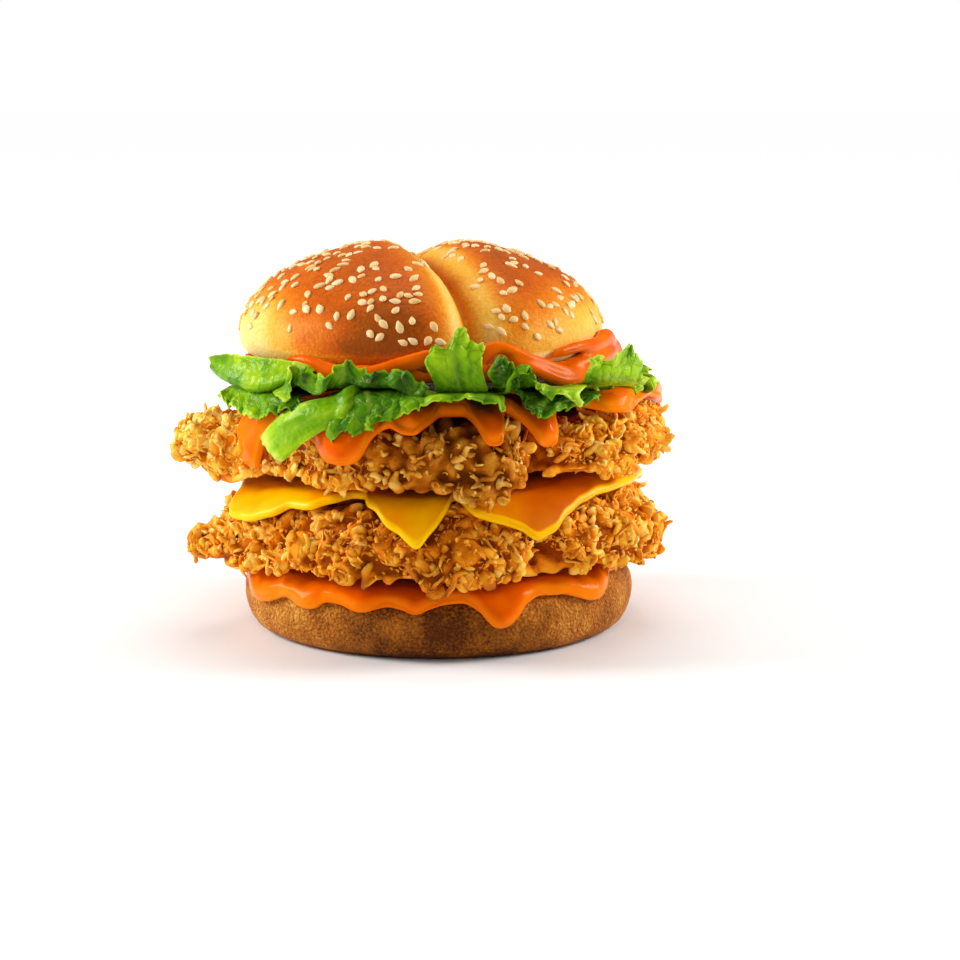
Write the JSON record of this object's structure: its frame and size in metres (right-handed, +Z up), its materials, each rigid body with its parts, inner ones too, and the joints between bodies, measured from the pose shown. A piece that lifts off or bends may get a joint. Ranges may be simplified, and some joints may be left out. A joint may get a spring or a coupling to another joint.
{
  "type": "fried chicken burger",
  "caption": "Tall burger with crisp fried chicken fillets, melted cheese, lettuce and orange sauce in a sesame bun whose top is cleft by a crease.",
  "frame": {"origin": "centre of the lower bun's flat underside, where the burger rests", "axes": "+Z is up through the layers, -Y is the side shown in the picture, +X is to the right as the picture shows it"},
  "size_m": [0.13, 0.1206, 0.103],
  "materials": {
    "bun_crust": "glossy",
    "bun_toast": "matt",
    "chicken_crust": "satin",
    "cheese": "satin",
    "sauce": "glossy",
    "lettuce": "satin"
  },
  "bodies": {
    "root": {"bun_crown": "bun_crust", "bun_heel": "bun_toast", "cheese": "cheese", "fillet_lower": "chicken_crust", "fillet_upper": "chicken_crust", "leaf_back_hanging": "lettuce", "leaf_back_level": "lettuce", "leaf_back_raised": "lettuce", "leaf_front_left_bright": "lettuce", "leaf_front_left_dark": "lettuce", "leaf_front_long": "lettuce", "leaf_front_right_dark": "lettuce", "leaf_front_ruffled": "lettuce", "leaf_front_standing": "lettuce", "leaf_left_low": "lettuce", "leaf_left_lower": "lettuce", "leaf_left_pale": "lettuce", "leaf_right_jagged": "lettuce", "leaf_right_low": "lettuce", "leaf_right_ruffled": "lettuce", "sauce_lower": "sauce", "sauce_middle": "sauce", "sauce_upper": "sauce"}
  },
  "joints": []
}
